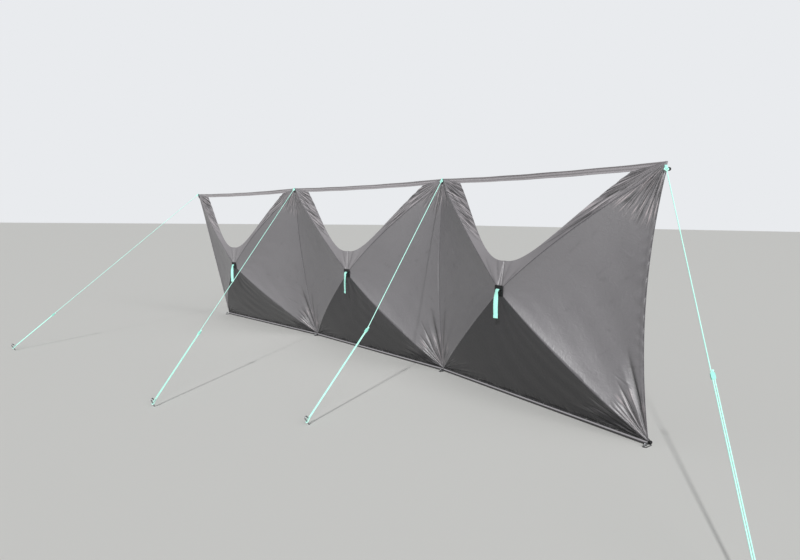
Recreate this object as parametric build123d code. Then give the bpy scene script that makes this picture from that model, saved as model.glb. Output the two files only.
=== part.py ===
import os
from math import cos, hypot, radians, sin

from build123d import *

os.makedirs("parts", exist_ok=True)

# A windbreak of square bays, pitched on the ground. Each bay is a shallow pyramid of cloth on four
# bent rods that run from a hub, pushed out towards the guy lines, to the bay's corners.
# X runs along the bays, +Y points away from the guyed side and +Z is up. All lengths are in mm.

# Cloth bays and how they stand
bay_width = 1838.0
edge_height = 1500.0
bay_headings = (5.3, 1.2, -6.6)
edge_leans = (13.4, 9.7, 1.5, -1.5)
hub_pushes = (275.0, 219.0, 265.0)

# Cloth panels
cloth_thickness = 2.5
seam_gap = 0.4
hem_height = 26.0
hem_thickness = 4.0
hem_end_margin = 16.0
tape_width = 38.0
tape_thickness = 2.5
tape_sag = 12.0
rod_bow = 40.0
upper_rod_rise = 28.0
lower_rod_drop = 10.0
seam_pull = 45.0
free_edge_inset = 55.0
free_edge_pull = 20.0
side_belly = 150.0
lower_belly = 60.0

# Opening above the two upper rods, measured from the hub or from the top corner
mouth_height = 188.0
mouth_turn_along = 259.0
mouth_turn_off = 9.0
mouth_side_along = 557.0
mouth_side_off = 115.0
mouth_corner_in = 205.0
dart_tip_gap = 8.0

# Rods
rod_radius = 4.75
rod_setback = 18.0
socket_reach = 66.0
socket_length = 46.0
socket_radius = 8.0
boot_reach = 52.0
boot_radius = 7.5
knuckle_radius = 9.5
knuckle_depth = 18.0
knuckle_round = 3.0
knuckle_setback = 23.0

# Hub, its front plate and its pull strap
cloth_hole_half = 14.0
stem_radius = 11.0
hub_disc_radius = 34.0
hub_disc_thickness = 18.0
hub_disc_setback = 12.0
plate_width = 74.0
plate_height = 69.0
plate_thickness = 5.0
plate_corner = 9.0
plate_gap = 0.4
strap_width = 28.0
strap_thickness = 4.0
strap_reach = 18.0
strap_drop = 184.0
strap_bend = 12.0

# Corner tabs at the top and webbing loops at the feet
tab_width = 16.0
tab_length = 60.0
tab_thickness = 2.5
tab_standoff = 4.8
tab_seat = 0.9
tab_head_width = 10.0
tab_head_height = 16.0
tab_ring_length = 30.0
tab_ring_height = 15.0
tab_ring_wall = 2.0
tab_ring_width = 12.0
tab_ring_drops = (0.0, 0.0, 0.0, 22.0)
foot_loop_length = 62.0
foot_loop_width = 26.0
foot_loop_wall = 6.0
foot_loop_thickness = 3.0
foot_loop_tuck = 10.0
rest_gap = 0.3

# Guy lines, from the top corners to the pegs
guy_reaches = (2205.0, 2303.0, 1532.0, 1568.0)
guy_bearings = (23.9, 38.5, 17.7, 40.1)
line_radius = 2.5
eye_radius = 10.0
eye_tube_radius = 3.0
peg_hold_height = 24.0
runner_distances = (447.0, 649.0, 722.0, 864.0)
# How far a slack line hangs below its straight run, at its runner
line_sags = (0.0, 0.0, 75.0, 0.0)
line_bend_radius = 90.0
runner_length = 32.0
runner_width = 17.0
runner_thickness = 9.0
runner_corner = 6.0
runner_web = 1.6
tail_length = 25.0
knot_radius = 4.5
# Angle at which the returning part closes in on the other, behind the peg
closing_angle = 8.0

# Pegs of bent round steel
peg_radius = 3.5
peg_rise = 24.0
peg_hook_radius = 9.0
peg_hook_tip = 10.0
foot_peg_rise = 12.0

back = Vector(0, 1, 0)
up = Vector(0, 0, 1)
bay_count = len(bay_headings)
foot_level = hem_height + seam_gap
line_turn_radius = peg_radius + line_radius + rest_gap
bore_offset = line_radius + rest_gap + runner_web / 2

# Feet of the seams, walked along the ground from bay to bay
feet = [Vector(0, 0, 0)]
for heading in bay_headings:
    step = Vector(cos(radians(heading)), sin(radians(heading)), 0) * bay_width
    feet.append(feet[-1] + step)

# Each seam leans towards the guys. The cloth's own corners lie inside the hem and the top tape.
leans = [Vector(0, -sin(radians(lean)), cos(radians(lean))) for lean in edge_leans]
tops = [foot + lean * edge_height for foot, lean in zip(feet, leans)]
low_corners = [foot + up * foot_level for foot in feet]
high_corners = [top - lean * (tape_width + seam_gap * 2) for top, lean in zip(tops, leans)]


def hub_plane(bay):
    # The hub stands off the middle of its bay, square to the bay's two diagonals
    rising = tops[bay + 1] - feet[bay]
    falling = tops[bay] - feet[bay + 1]
    outward = rising.cross(falling).normalized()
    middle = (feet[bay] + feet[bay + 1] + tops[bay] + tops[bay + 1]) * 0.25
    along = feet[bay + 1] - feet[bay]
    return Plane(origin=middle + outward * hub_pushes[bay], x_dir=along, z_dir=outward)


hubs = [hub_plane(bay) for bay in range(bay_count)]


def shifted(points, offset):
    return [point + offset for point in points]


def ridge(start, end, rise):
    # Control points of a rod line, bowed towards the guys and up or down. The middle of the curve
    # moves by three quarters of what its two middle control points do.
    bow = (up * rise - back * rod_bow) * (4 / 3)
    third = (end - start) * (1 / 3)
    return [start, start + third + bow, start + third * 2 + bow, end]


def curve_point(points, share):
    # A point of the cubic curve that four control points give
    rest = 1 - share
    weights = (rest**3, 3 * rest**2 * share, 3 * rest * share**2, share**3)
    total = Vector(0, 0, 0)
    for point, weight in zip(points, weights):
        total = total + point * weight
    return total


def cloth(rows, thickness=cloth_thickness):
    # A curved panel of cloth, given its thickness straight backwards
    face = Face.make_bezier_surface([[tuple(point) for point in row] for row in rows])
    return extrude(face, amount=thickness, dir=back)


def hole_corner(bay, side, level):
    # A corner of the square hole that the hub's stem passes through
    return hubs[bay].from_local_coords(Vector(side * cloth_hole_half, level * cloth_hole_half, 0))


def rod_line(bay, side, level):
    # The line of one rod at the front of the cloth, from the hub to its corner
    post = bay if side < 0 else bay + 1
    if level > 0:
        return ridge(hole_corner(bay, side, level), high_corners[post], upper_rod_rise)
    return ridge(hole_corner(bay, side, level), low_corners[post], -lower_rod_drop)


def edge_control(post):
    # Pulls the middle of a seam, or of a free edge, off its straight line
    middle = (low_corners[post] + high_corners[post]) * 0.5
    if post == 0:
        return middle + Vector(free_edge_inset, -free_edge_pull, 0) * 2
    if post == bay_count:
        return middle + Vector(-free_edge_inset, -free_edge_pull, 0) * 2
    return middle - back * (seam_pull * 2)


def side_panel(bay, side):
    post = bay if side < 0 else bay + 1
    lower = shifted(rod_line(bay, side, -1), up * seam_gap)
    upper = shifted(rod_line(bay, side, 1), up * -seam_gap)
    inner = (lower[0] + upper[0]) * 0.5
    outer = edge_control(post)
    third = (outer - inner) * (1 / 3)
    near = inner + third + back * (side_belly / 2)
    far = inner + third * 2 + back * side_belly
    rows = [lower, [inner, near, far, outer], upper]
    clear = Vector(-side * seam_gap, 0, 0)
    return cloth([row[:3] + [row[3] + clear] for row in rows])


def lower_panel(bay):
    left = shifted(rod_line(bay, -1, -1), up * -seam_gap)
    right = shifted(rod_line(bay, 1, -1), up * -seam_gap)
    left[3] = low_corners[bay]
    right[3] = low_corners[bay + 1]
    middle = [(a + b) * 0.5 for a, b in zip(left, right)]
    middle[1] = middle[1] + back * (lower_belly / 2)
    middle[2] = middle[2] + back * lower_belly
    return cloth([left, middle, right])


def tape_edges(bay):
    # The top tape's upper and lower edges, each a straight line with a slight sag
    edges = []
    for height in (0, tape_width):
        start = tops[bay] - leans[bay] * height
        end = tops[bay + 1] - leans[bay + 1] * height
        along = (end - start).normalized() * seam_gap
        sagged = (start + end) * 0.5 - up * (tape_sag * 2)
        edges.append([start + along, sagged, end - along])
    return edges


def mouth_edge(bay, side):
    # Edge of the opening, from its lowest point up to the top tape
    post = bay if side < 0 else bay + 1
    plane = hubs[bay]
    corner = plane.to_local_coords(high_corners[post])
    opposite = plane.to_local_coords(high_corners[bay + bay + 1 - post])
    reach = hypot(corner.X, corner.Y)
    run = Vector(corner.X / reach, corner.Y / reach, 0)
    inwards = Vector(-side * run.Y, side * run.X, 0)
    slope = corner.Z / corner.Y
    middle_slope = (slope + opposite.Z / opposite.Y) / 2

    def place(local, slope):
        # The cloth between the upper rods lies a little in front of a flat triangle
        share = local.Y / corner.Y
        lift = rod_bow * 4 * share * (1 - share)
        return plane.from_local_coords(Vector(local.X, local.Y, local.Y * slope + lift))

    turn = run * mouth_turn_along + inwards * mouth_turn_off
    side_point = run * mouth_side_along + inwards * mouth_side_off
    other = high_corners[bay + 1] if side < 0 else high_corners[bay]
    along = (other - high_corners[post]).normalized() * mouth_corner_in
    span_share = mouth_corner_in / bay_width
    sag = up * (tape_sag * 4 * span_share * (1 - span_share))
    end = high_corners[post] + along - sag
    return [place(Vector(0, mouth_height, 0), middle_slope), place(turn, slope), place(side_point, slope), end]


def band(bay, side):
    # Cloth between an upper rod and the opening
    outer = shifted(rod_line(bay, side, 1), up * seam_gap)
    outer[3] = outer[3] - up * seam_gap
    inner = shifted(mouth_edge(bay, side), Vector(side * seam_gap, 0, 0))
    return cloth([outer, inner])


def dart(bay):
    # Flat gore between the two bands, from the hub up to the opening
    rise = (mouth_edge(bay, 1)[0] - hubs[bay].origin).normalized()
    inset = hubs[bay].x_dir * seam_gap
    left = hole_corner(bay, -1, 1) + inset + up * seam_gap
    right = hole_corner(bay, 1, 1) - inset + up * seam_gap
    tip = mouth_edge(bay, 1)[0] - rise * dart_tip_gap
    gore = Face(Wire.make_polygon([left, right, tip], close=True))
    return extrude(gore, amount=cloth_thickness, dir=back)


def tape(bay):
    return cloth(tape_edges(bay), tape_thickness)


def hem(bay):
    start = feet[bay]
    end = feet[bay + 1]
    along = (end - start).normalized()
    across = up.cross(along)
    middle = (start + end) * 0.5 + across * (cloth_thickness - hem_thickness / 2) + up * (hem_height / 2)
    strip = Box(bay_width - hem_end_margin * 2, hem_thickness, hem_height)
    return Plane(origin=middle, x_dir=along, z_dir=up) * strip


def rod_arc(bay, side, level):
    # The rod runs behind the cloth, in one even bend
    line = rod_line(bay, side, level)
    length = (line[3] - line[0]).length
    start = (socket_reach - cloth_hole_half) / length
    end = 1 - boot_reach / length
    points = [curve_point(line, share) + back * rod_setback for share in (start, (start + end) / 2, end)]
    return ThreePointArc(*points)


quadrants = [(side, level) for side in (-1, 1) for level in (-1, 1)]


def rod(arc):
    return sweep(Plane(origin=arc @ 0, z_dir=arc % 0) * Circle(rod_radius), path=arc)


def stub(point, direction, length, radius):
    # A round stub that starts at a point and runs along a direction
    return extrude(Plane(origin=point, z_dir=direction) * Circle(radius), amount=length)


def hub_body(bay):
    plane = hubs[bay]
    disc = Cylinder(hub_disc_radius, hub_disc_thickness)
    disc = plane * Pos(0, 0, -hub_disc_setback - hub_disc_thickness / 2) * disc
    stem_length = hub_disc_setback + plate_gap
    stem = plane * Pos(0, 0, plate_gap - stem_length / 2) * Cylinder(stem_radius, stem_length)
    arcs = [rod_arc(bay, side, level) for side, level in quadrants]
    sockets = [stub(arc @ 0, (arc % 0) * -1, socket_length, socket_radius) for arc in arcs]
    return disc + [stem] + sockets


def hub_plate(bay):
    outline = RectangleRounded(plate_width, plate_height, plate_corner)
    return hubs[bay] * Pos(0, 0, plate_gap) * extrude(outline, amount=plate_thickness)


def pull_strap(bay):
    # Webbing that comes straight out of the plate, turns down and hangs
    plane = hubs[bay]
    outward = Vector(plane.z_dir.X, plane.z_dir.Y, 0).normalized()
    front = plane.from_local_coords(Vector(0, 0, plate_gap + plate_thickness)) + outward * (rest_gap * 2)
    bend = front + outward * strap_reach
    path = FilletPolyline(front, bend, bend - up * strap_drop, radius=strap_bend)
    across = outward.cross(up)
    section = Plane(origin=front, x_dir=across, z_dir=outward) * Rectangle(strap_width, strap_thickness)
    return sweep(section, path=path)


def boot(post, level):
    # Moulded boot behind a corner, in which the rods of the bays on each side end
    if level > 0:
        knuckle = high_corners[post] + back * knuckle_setback
    else:
        lift = knuckle_radius + foot_loop_thickness + rest_gap
        knuckle = feet[post] + back * knuckle_setback + up * lift
    puck = Rot(90, 0, 0) * Cylinder(knuckle_radius, knuckle_depth)
    pieces = [Pos(*knuckle) * fillet(puck.edges(), knuckle_round)]
    for bay, side in ((post - 1, 1), (post, -1)):
        if 0 <= bay < bay_count:
            arc = rod_arc(bay, side, level)
            path = TangentArc(arc @ 1, knuckle, tangent=arc % 1)
            pieces.append(sweep(Plane(origin=arc @ 1, z_dir=arc % 1) * Circle(boot_radius), path=path))
    return Part() + pieces


def seam_run(post):
    # Way up the seam at its top end
    return (high_corners[post] - edge_control(post)).normalized()


def guy_frame(post):
    # Where the tab's loop starts, the place where the peg holds the line, and the way between them
    bearing = radians(guy_bearings[post])
    outward = Vector(sin(bearing), -cos(bearing), 0)
    hold = Vector(tops[post].X, tops[post].Y, 0) + outward * guy_reaches[post] + up * peg_hold_height
    start = tops[post] - back * tab_standoff - seam_run(post) * tab_ring_drops[post]
    direction = (hold - start).normalized()
    across = direction.cross(up).normalized()
    return start, hold, direction, across


def guy_run(post):
    # The bend above a line's runner, the middle of its peg, and from there the doubled part's
    # direction and the side on which it meets the peg
    start, hold, direction, across = guy_frame(post)
    first = hold + across * line_turn_radius
    straight = (first - eye_centre(post)).normalized()
    rise = (up - straight * up.dot(straight)).normalized()
    bend = first - straight * (runner_distances[post] + runner_length) - rise * line_sags[post]
    run = (first - bend).normalized()
    out = (across - run * across.dot(run)).normalized()
    centre = first - out * line_turn_radius
    return bend, centre, run, out


def eye_centre(post):
    start, _, direction, _ = guy_frame(post)
    return start + direction * tab_ring_length


def corner_tab(post):
    # Webbing sewn down the seam, with a loop at the top for the guy line
    start, hold, direction, across = guy_frame(post)
    along = tops[min(post + 1, bay_count)] - tops[max(post - 1, 0)]
    strip = Pos(0, -tab_thickness / 2, -tab_length / 2) * Box(tab_width, tab_thickness, tab_length)
    strip = Plane(origin=tops[post] - back * tab_standoff, x_dir=along, z_dir=seam_run(post)) * strip
    head_depth = tab_standoff + tab_thickness / 2 - tab_seat
    head = Pos(0, -tab_seat - head_depth / 2, -tab_head_height) * Box(tab_head_width, head_depth, tab_head_height)
    head = Plane(origin=tops[post], x_dir=along, z_dir=leans[post]) * head
    upright = across.cross(direction)
    ring_plane = Plane(origin=start + direction * (tab_ring_length / 2), x_dir=direction, z_dir=across)
    outline = SlotOverall(tab_ring_length, tab_ring_height)
    hole = SlotOverall(tab_ring_length - tab_ring_wall * 2, tab_ring_height - tab_ring_wall * 2)
    ring = extrude(ring_plane * (outline - hole), amount=tab_ring_width / 2, both=True)
    return strip + [head, ring]


def guy_line(post):
    # From an eye in the tab's loop down to the peg, round it, and back up to a stopper knot
    bend, centre, run, out = guy_run(post)
    eye = eye_centre(post)
    pull = (bend - eye).normalized()
    start = eye + pull * eye_radius
    first = centre + out * line_turn_radius
    turn = centre + run * line_turn_radius
    sine, cosine = sin(radians(closing_angle)), cos(radians(closing_angle))
    second = centre - (run * sine + out * cosine) * line_turn_radius
    side_step = line_turn_radius - bore_offset * 2
    closed = second + (out * sine - run * cosine) * ((side_step + line_turn_radius * cosine) / sine)
    tail = centre + out * side_step - run * (runner_distances[post] + tail_length)
    upper = Line(start, first)
    if line_sags[post]:
        upper = FilletPolyline(start, bend, first, radius=line_bend_radius)
    lower = FilletPolyline(second, closed, tail, radius=line_bend_radius)
    path = Wire([*upper.edges(), ThreePointArc(first, turn, second), *lower.edges()])
    line = sweep(Plane(origin=start, z_dir=pull) * Circle(line_radius), path=path)
    ring = Plane(origin=eye, x_dir=pull, z_dir=pull.cross(out)) * Torus(eye_radius, eye_tube_radius)
    knot = Pos(*tail) * Sphere(knot_radius)
    return line + [ring, knot]


def runner(post):
    # Flat slider with two bores, one for each part of the doubled line
    _, centre, run, out = guy_run(post)
    middle = centre + out * (line_turn_radius - bore_offset) - run * runner_distances[post]
    plane = Plane(origin=middle, x_dir=run, z_dir=run.cross(out))
    outline = RectangleRounded(runner_length, runner_width, runner_corner)
    body = plane * extrude(outline, amount=runner_thickness / 2, both=True)
    bore = Rot(0, 90, 0) * Cylinder(line_radius + rest_gap, runner_length)
    return body - [plane * Pos(0, side * bore_offset, 0) * bore for side in (-1, 1)]


def hooked_peg(hold, lean_axis, hook_side, rise):
    # A round pin that comes out of the ground along its lean and bends over in a hook
    below = hold - lean_axis * (hold.Z * 2 / lean_axis.Z)
    shoulder = hold + lean_axis * rise
    crown = shoulder + (hook_side + lean_axis) * peg_hook_radius
    tip_start = crown + (hook_side - lean_axis) * peg_hook_radius
    tip = tip_start - lean_axis * peg_hook_tip
    path = Wire([Line(below, shoulder), ThreePointArc(shoulder, crown, tip_start), Line(tip_start, tip)])
    pin = sweep(Plane(origin=below, z_dir=lean_axis) * Circle(peg_radius), path=path)
    return split(pin, bisect_by=Plane.XY, keep=Keep.TOP)


def guy_peg(post):
    _, centre, run, _ = guy_run(post)
    lean_axis = (up - run * up.dot(run)).normalized()
    return hooked_peg(centre, lean_axis, run * -1, peg_rise)


def foot_loop(post):
    # Flat webbing loop that lies on the ground in front of a foot
    length = foot_loop_length + foot_loop_tuck
    outline = SlotOverall(length, foot_loop_width)
    hole = SlotOverall(length - foot_loop_wall * 2, foot_loop_width - foot_loop_wall * 2)
    ring = extrude(outline - hole, amount=foot_loop_thickness)
    centre = feet[post] - back * (foot_loop_length / 2 - rod_setback - foot_loop_tuck / 2)
    return Plane(origin=centre, x_dir=(0, 1, 0), z_dir=(0, 0, 1)) * ring


def foot_peg(post):
    far_end = feet[post] - back * (foot_loop_length - rod_setback)
    hold = far_end + back * (foot_loop_wall + peg_radius + rest_gap) + up * (foot_loop_thickness / 2)
    return hooked_peg(hold, up, back, foot_peg_rise)


nodes = {}
for bay in range(bay_count):
    number = bay + 1
    nodes[f"lower_panel_{number}"] = [lower_panel(bay)]
    nodes[f"left_panel_{number}"] = [side_panel(bay, -1)]
    nodes[f"right_panel_{number}"] = [side_panel(bay, 1)]
    nodes[f"left_band_{number}"] = [band(bay, -1)]
    nodes[f"right_band_{number}"] = [band(bay, 1)]
    nodes[f"top_tape_{number}"] = [tape(bay)]
    nodes[f"hem_{number}"] = [hem(bay)]
    nodes[f"hub_{number}"] = [hub_body(bay)]
    nodes[f"hub_plate_{number}"] = [hub_plate(bay)]
    nodes[f"pull_strap_{number}"] = [pull_strap(bay)]
    nodes[f"rods_{number}"] = [rod(rod_arc(bay, side, level)) for side, level in quadrants]
nodes["band_darts"] = [dart(bay) for bay in range(bay_count)]
posts = range(bay_count + 1)
nodes["top_boots"] = [boot(post, 1) for post in posts]
nodes["foot_boots"] = [boot(post, -1) for post in posts]
nodes["corner_tabs"] = [corner_tab(post) for post in posts]
nodes["foot_loops"] = [foot_loop(post) for post in posts]
nodes["foot_pegs"] = [foot_peg(post) for post in posts]
nodes["line_runners"] = [runner(post) for post in posts]
nodes["guy_pegs"] = [guy_peg(post) for post in posts]
for post in posts:
    nodes[f"guy_line_{post + 1}"] = [guy_line(post)]

# The origin is on the ground, under the middle of the whole pitch
solids = [solid for pieces in nodes.values() for piece in pieces for solid in piece.solids()]
bounds = Compound(solids).bounding_box()
centre_move = Pos(-bounds.center().X, -bounds.center().Y, 0)
for name, pieces in nodes.items():
    moved = [centre_move * solid for piece in pieces for solid in piece.solids()]
    export_step(moved[0] if len(moved) == 1 else Compound(moved), f"parts/{name}.step")
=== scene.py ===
import math
import random
from functools import partial

import bmesh
import bpy
import numpy as np
from mathutils import Matrix, Vector


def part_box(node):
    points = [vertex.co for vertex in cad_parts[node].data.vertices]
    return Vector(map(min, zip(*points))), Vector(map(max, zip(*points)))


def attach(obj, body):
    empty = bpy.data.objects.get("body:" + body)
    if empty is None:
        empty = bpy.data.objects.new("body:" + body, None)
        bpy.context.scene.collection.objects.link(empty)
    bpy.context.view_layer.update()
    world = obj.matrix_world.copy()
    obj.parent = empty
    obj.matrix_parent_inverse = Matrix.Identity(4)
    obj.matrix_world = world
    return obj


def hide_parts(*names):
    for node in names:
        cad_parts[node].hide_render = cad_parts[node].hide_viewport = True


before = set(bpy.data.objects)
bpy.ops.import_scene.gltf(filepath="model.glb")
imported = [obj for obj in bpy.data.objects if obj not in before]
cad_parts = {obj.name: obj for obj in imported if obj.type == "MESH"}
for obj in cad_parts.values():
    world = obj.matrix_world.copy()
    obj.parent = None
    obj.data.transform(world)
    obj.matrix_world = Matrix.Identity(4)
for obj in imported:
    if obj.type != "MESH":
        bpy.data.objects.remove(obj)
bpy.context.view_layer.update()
print("frame loaded")

# The cloth's own layout, in metres and degrees, as the part is pitched
windbreak = {
    "bayWidth": 1.838,
    "edgeHeight": 1.5,
    "headings": (5.3, 1.2, -6.6),
    "leans": (13.4, 9.7, 1.5, -1.5),
    "hubPushes": (0.275, 0.219, 0.265),
    "hemHeight": 0.026,
    "tapeWidth": 0.038,
    "tapeSag": 0.012,
    "rodBow": 0.040,
    "upperRodRise": 0.028,
    "lowerRodDrop": 0.010,
    "seamPull": 0.045,
    "freeEdgeInset": 0.055,
    "freeEdgePull": 0.020,
    "sideBelly": 0.150,
    "lowerBelly": 0.060,
    "holeHalf": 0.014,
}
# The opening's edge, from its lowest point above the hub to where it meets the top tape
mouth = {
    "height": 0.188,
    "turnAlong": 0.259,
    "turnOff": 0.009,
    "sideAlong": 0.557,
    "sideOff": 0.115,
    "cornerIn": 0.205,
}
up = np.array([0.0, 0.0, 1.0])
back = np.array([0.0, 1.0, 0.0])
fullTurn = 2 * math.pi
bayCount = len(windbreak["headings"])
posts = range(bayCount + 1)


def unit(vector):
    return vector / np.linalg.norm(vector)


def bezier(points, share):
    # Curve through the first and last control points, at each share of the way along
    n = len(points) - 1
    return sum(math.comb(n, k) * share ** k * (1 - share) ** (n - k) * p for k, p in enumerate(points))


# Feet of the seams, walked along the ground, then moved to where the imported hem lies
feet = [np.zeros(3)]
for heading in windbreak["headings"]:
    turn = math.radians(heading)
    feet.append(feet[-1] + np.array([math.cos(turn), math.sin(turn), 0]) * windbreak["bayWidth"])
hemLow, hemHigh = (np.array(corner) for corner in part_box("hem_1"))
shift = ((hemLow + hemHigh) / 2 - (feet[0] + feet[1]) / 2) * (1, 1, 0)
feet = [foot + shift for foot in feet]
leanAngles = [math.radians(lean) for lean in windbreak["leans"]]
leans = [np.array([0, -math.sin(lean), math.cos(lean)]) for lean in leanAngles]
tops = [foot + lean * windbreak["edgeHeight"] for foot, lean in zip(feet, leans)]
lowCorners = [foot + up * windbreak["hemHeight"] for foot in feet]
highCorners = [top - lean * windbreak["tapeWidth"] for top, lean in zip(tops, leans)]


class HubPlane:
    # Plane of a bay's hub: x along the bay, y up the cloth, z out towards the guy lines
    def __init__(self, bay):
        rising = tops[bay + 1] - feet[bay]
        falling = tops[bay] - feet[bay + 1]
        middle = (feet[bay] + feet[bay + 1] + tops[bay] + tops[bay + 1]) / 4
        self.z = unit(np.cross(rising, falling))
        along = feet[bay + 1] - feet[bay]
        self.x = unit(along - self.z * (along @ self.z))
        self.y = np.cross(self.z, self.x)
        self.origin = middle + self.z * windbreak["hubPushes"][bay]

    def point(self, x, y, z=0.0):
        return self.origin + self.x * x + self.y * y + self.z * z

    def local(self, point):
        offset = point - self.origin
        return offset @ self.x, offset @ self.y, offset @ self.z

    def matrix(self):
        columns = np.column_stack((self.x, self.y, self.z, self.origin))
        return Matrix(np.vstack([columns, (0, 0, 0, 1)]).tolist())


hubs = [HubPlane(bay) for bay in range(bayCount)]


def postOf(bay, side):
    return bay if side < 0 else bay + 1


def handOf(side):
    return "left" if side < 0 else "right"


def rodLine(bay, side, level):
    # Line of one rod at the front of the cloth, from the hub to its corner
    start = hubs[bay].point(side * windbreak["holeHalf"], level * windbreak["holeHalf"])
    post = postOf(bay, side)
    end = highCorners[post] if level > 0 else lowCorners[post]
    rise = windbreak["upperRodRise"] if level > 0 else -windbreak["lowerRodDrop"]
    bow = (up * rise - back * windbreak["rodBow"]) * 4 / 3
    third = (end - start) / 3
    return [start, start + third + bow, start + third * 2 + bow, end]


def edgeControl(post):
    # Pulls the middle of a seam, or of a free edge, off its straight line
    middle = (lowCorners[post] + highCorners[post]) / 2
    if 0 < post < bayCount:
        return middle - back * windbreak["seamPull"] * 2
    inset = windbreak["freeEdgeInset"] * (1 if post == 0 else -1)
    return middle + np.array([inset, -windbreak["freeEdgePull"], 0]) * 2


def mouthEdge(bay, side):
    # Edge of the opening, from its lowest point up to the top tape
    post = postOf(bay, side)
    plane = hubs[bay]
    cornerX, cornerY, cornerZ = plane.local(highCorners[post])
    other = highCorners[bay + bay + 1 - post]
    opposite = plane.local(other)
    run = unit(np.array([cornerX, cornerY]))
    inwards = np.array([-side * run[1], side * run[0]])
    slope = cornerZ / cornerY
    middleSlope = (slope + opposite[2] / opposite[1]) / 2

    def place(x, y, tilt):
        share = y / cornerY
        return plane.point(x, y, y * tilt + windbreak["rodBow"] * 4 * share * (1 - share))

    lowTurn = run * mouth["turnAlong"] + inwards * mouth["turnOff"]
    highTurn = run * mouth["sideAlong"] + inwards * mouth["sideOff"]
    spanShare = mouth["cornerIn"] / windbreak["bayWidth"]
    sag = up * windbreak["tapeSag"] * 4 * spanShare * (1 - spanShare)
    end = highCorners[post] + unit(other - highCorners[post]) * mouth["cornerIn"] - sag
    return [place(0, mouth["height"], middleSlope), place(*lowTurn, slope), place(*highTurn, slope), end]


def seamRun(post):
    # Way up the seam at its top end
    return unit(highCorners[post] - edgeControl(post))


print("layout worked out")


def linear(hexColour):
    # sRGB hex to the linear values that the shaders read
    parts = [int(hexColour[k:k + 2], 16) / 255 for k in (1, 3, 5)]
    return tuple(c / 12.92 if c <= 0.04045 else ((c + 0.055) / 1.055) ** 2.4 for c in parts) + (1.0,)


def newMaterial(name):
    # A new material, its shader, and the function that adds a node to it
    material = bpy.data.materials.new(name)
    material.use_nodes = True
    tree = material.node_tree
    return material, tree.nodes["Principled BSDF"], partial(addNode, tree)


def feed(node, values):
    # Gives each of a node's inputs a value, or another node's output
    for name, value in values.items():
        if isinstance(value, bpy.types.NodeSocket):
            node.id_data.links.new(value, node.inputs[name])
        else:
            node.inputs[name].default_value = value


def addNode(tree, kind, output, values=None, **settings):
    # One node with its settings and inputs, of which one output is handed back
    node = tree.nodes.new("ShaderNode" + kind)
    for key, value in settings.items():
        setattr(node, key, value)
    feed(node, values or {})
    return node.outputs[output]


def mottled(add, scale, detail, colour, shade):
    # Places on the object, a noise over them, and the two close tones that it mixes
    place = add("TexCoord", "Object")
    noise = add("TexNoise", "Fac", {"Vector": place, "Scale": scale, "Detail": detail})
    tones = {"Factor": noise, "A": linear(colour), "B": linear(shade)}
    return place, noise, add("Mix", "Result", tones, data_type="RGBA")


def drawnStreaks(add):
    # Fine streaks where cloth is drawn into a corner: angle, distance and height come with the mesh
    fan = add("Attribute", "Vector", attribute_name="fan")
    height = add("SeparateXYZ", "Z", {"Vector": fan})
    spread = add("Mapping", "Vector", {"Vector": fan, "Scale": (20, 5, 0)})
    streak = add("TexNoise", "Fac", {"Vector": spread, "Scale": 1.0, "Detail": 2.0, "Roughness": 0.6})
    relief = add("Math", "Value", {0: streak, 1: height}, operation="MULTIPLY")
    # Painted shade lies in their bottoms and a painted highlight on their crests, both less where they are
    # shallow
    deep = add("MapRange", "Result", {"Value": height, "From Max": 0.0030})
    shares = []
    for low, high, most in ((0.47, 0.38, 0.9), (0.54, 0.67, 0.65)):
        part = add("MapRange", "Result", {"Value": streak, "From Min": low, "From Max": high, "To Max": most})
        shares.append(add("Math", "Value", {0: part, 1: deep}, operation="MULTIPLY"))
    return relief, *shares


def seamPuckers(add, flat):
    # Puckers across a rod seam every 16 mm, and down a post seam or an edge every 22 mm
    heights = []
    for scale, near in (((62, 9, 1), "ridge"), ((9, 46, 1), "edge")):
        along = add("Mapping", "Vector", {"Vector": flat, "Scale": scale})
        pucker = add("TexNoise", "Fac", {"Vector": along, "Scale": 1.0, "Detail": 1.5})
        share = add("Attribute", "Fac", attribute_name=near)
        heights.append(add("Math", "Value", {0: pucker, 1: share}, operation="MULTIPLY"))
    return add("Math", "Value", {0: heights[0], 1: heights[1]}, operation="ADD")


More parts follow.
